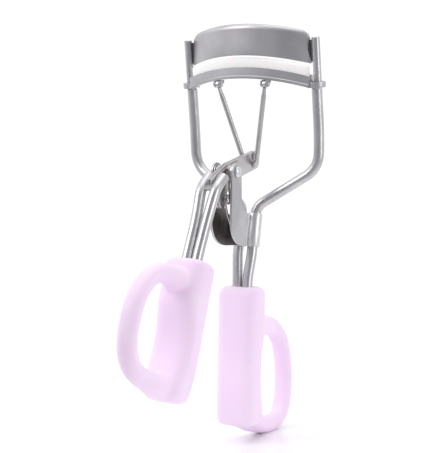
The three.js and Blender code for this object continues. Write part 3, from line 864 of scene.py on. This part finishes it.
def grip(name, node, body, place, length, points, taper, roots, floor=None):
    obj = as_object(name, merged(grip_body(place, length, taper), grip_loop(place, points, *roots)))
    remesh = obj.modifiers.new("skin", "REMESH")
    remesh.mode, remesh.voxel_size = "VOXEL", 0.32 * MM
    blend = obj.modifiers.new("flow", "SMOOTH")
    blend.factor, blend.iterations = 0.5, 26
    apply_modifiers(obj)
    if floor is not None:
        for v in obj.data.vertices:
            v.co.z = max(v.co.z, floor)
    for side in (-1, 1):
        ends = [place(side * WIRE_X, 0, 6), place(side * WIRE_X, 0, length + 4)]
        cut(obj, sweep(ends, WIRE_R + GAP / 2, sides=32))
    return finish_piece(obj, body, "soft_grip", SOFT_TOUCH, node)


# ---- assembly ------------------------------------------------------------------------------------------
SIDES = (("left", -1), ("right", 1))
for word, side in SIDES:
    frame_wire(word, side)
    bracket(word, side)
    painted_shade_seam(word, side)
    link_lug(word, side)
    link_pin(word, side)
    handle_wire(word, side)
top_plate()
pivot_rivet()
FAR = CHEEK_IN - 0.05
ring("left_washer_fine", "left_pivot_washer", -FAR, -FAR + 0.25, PIN_R + FIT, 2.0)
ring("right_washer_fine", "right_pivot_washer", FAR - 0.25, FAR, PIN_R + FIT, 2.0)
ring("bush_fine", "spacer_bush", -FAR + 0.35, -LEVER_T / 2 - 0.15, PIN_R + FIT, 1.7)
torsion_spring()
lower_jaw()
silicone_pad()
v_link()
lever_plate()
lever_saddle()
grip("fixed_grip_fine", "fixed_grip", "frame", fixed, FIXED_L, FIXED_LOOP, 0.0, (0.85, 0.45), floor=0.0)
grip("moving_grip_fine", "moving_grip", "handle", moving, MOVING_L, MOVING_LOOP, 0.16, (0.6, 0.3))


# ---- studio --------------------------------------------------------------------------------------------
def studio_floor():
    bm = bmesh.new()
    bmesh.ops.create_circle(bm, cap_ends=True, segments=96, radius=1.2)
    mesh = bpy.data.meshes.new("floor")
    bm.to_mesh(mesh)
    bm.free()
    floor = bpy.data.objects.new("floor", mesh)
    bpy.context.scene.collection.objects.link(floor)
    material, tree, bsdf = shader("pale_floor", Roughness=0.22)
    bsdf.inputs["Base Color"].default_value = (0.97, 0.97, 0.97, 1)
    bsdf.inputs["Specular IOR Level"].default_value = 0.2
    # it melts into the backdrop with distance from the object
    nodes, links = tree.nodes, tree.links
    place = nodes.new("ShaderNodeTexCoord")
    length = nodes.new("ShaderNodeVectorMath")
    length.operation = "LENGTH"
    fade = nodes.new("ShaderNodeMapRange")
    fade.interpolation_type = "SMOOTHSTEP"
    fade.inputs["From Min"].default_value, fade.inputs["From Max"].default_value = 0.03, 0.20
    clear, mix = nodes.new("ShaderNodeBsdfTransparent"), nodes.new("ShaderNodeMixShader")
    links.new(place.outputs["Object"], length.inputs[0])
    links.new(length.outputs["Value"], fade.inputs["Value"])
    links.new(fade.outputs["Result"], mix.inputs["Fac"])
    links.new(bsdf.outputs["BSDF"], mix.inputs[1])
    links.new(clear.outputs["BSDF"], mix.inputs[2])
    links.new(mix.outputs["Shader"], nodes["Material Output"].inputs["Surface"])
    mesh.materials.append(material)


def studio_world():
    """White behind the object and greyer on the open side of the studio."""
    world = bpy.data.worlds.new("studio")
    bpy.context.scene.world = world
    world.use_nodes = True
    nodes, links = world.node_tree.nodes, world.node_tree.links
    place = nodes.new("ShaderNodeTexCoord")
    dot = nodes.new("ShaderNodeVectorMath")
    dot.operation = "DOT_PRODUCT"
    dot.inputs[1].default_value = (-0.5, 0.866, 0.0)
    ramp = nodes.new("ShaderNodeValToRGB")
    remap = nodes.new("ShaderNodeMapRange")
    remap.inputs["From Min"].default_value, remap.inputs["From Max"].default_value = -1, 1
    stops = ramp.color_ramp.elements
    stops[0].position, stops[0].color = 0.15, (0.34, 0.34, 0.35, 1)
    stops[1].position, stops[1].color = 0.82, (1.0, 1.0, 1.0, 1)
    links.new(place.outputs["Generated"], dot.inputs[0])
    links.new(dot.outputs["Value"], remap.inputs["Value"])
    links.new(remap.outputs["Result"], ramp.inputs["Fac"])
    links.new(ramp.outputs["Color"], nodes["Background"].inputs["Color"])
    nodes["Background"].inputs["Strength"].default_value = 1.06


def softbox(name, place, aim, size, power):
    light = bpy.data.lights.new(name, "AREA")
    light.shape, light.size, light.size_y, light.energy = "RECTANGLE", size[0], size[1], power
    obj = bpy.data.objects.new(name, light)
    obj.location = place
    obj.rotation_euler = (Vector(aim) - Vector(place)).to_track_quat("-Z", "Y").to_euler()
    bpy.context.scene.collection.objects.link(obj)


def studio_camera():
    """The viewing angle: 30 degrees round, a little above, with a slight roll."""
    azimuth, elevation, roll = (math.radians(v) for v in (30.01, 3.37, 1.17))
    target = row((-1.32, -8.35, 49.47))
    flat = math.cos(elevation)
    back = Vector((math.sin(azimuth) * flat, -math.cos(azimuth) * flat, math.sin(elevation)))
    right = Vector((math.cos(azimuth), math.sin(azimuth), 0))
    up = back.cross(right)
    right, up = right * math.cos(roll) + up * math.sin(roll), up * math.cos(roll) - right * math.sin(roll)
    data = bpy.data.cameras.new("camera")
    data.sensor_width, data.lens = 36, 36 * 1300 / 453
    camera = bpy.data.objects.new("camera", data)
    turn = Matrix((right, up, back)).transposed().to_4x4()
    camera.matrix_world = Matrix.Translation(target + back * 0.31338) @ turn
    bpy.context.scene.collection.objects.link(camera)
    bpy.context.scene.camera = camera
    data.clip_start, data.clip_end = 0.01, 20


studio_floor()
studio_world()
CENTRE = (0, 0, 0.055)
softbox("key", (-0.30, -0.42, 0.42), CENTRE, (0.30, 0.36), 1.45)
softbox("fill", (0.55, -0.10, 0.16), CENTRE, (0.22, 0.42), 0.9)
softbox("top", (0.02, -0.02, 0.62), CENTRE, (0.50, 0.50), 1.0)
studio_camera()
bpy.context.scene.view_settings.view_transform = "Standard"
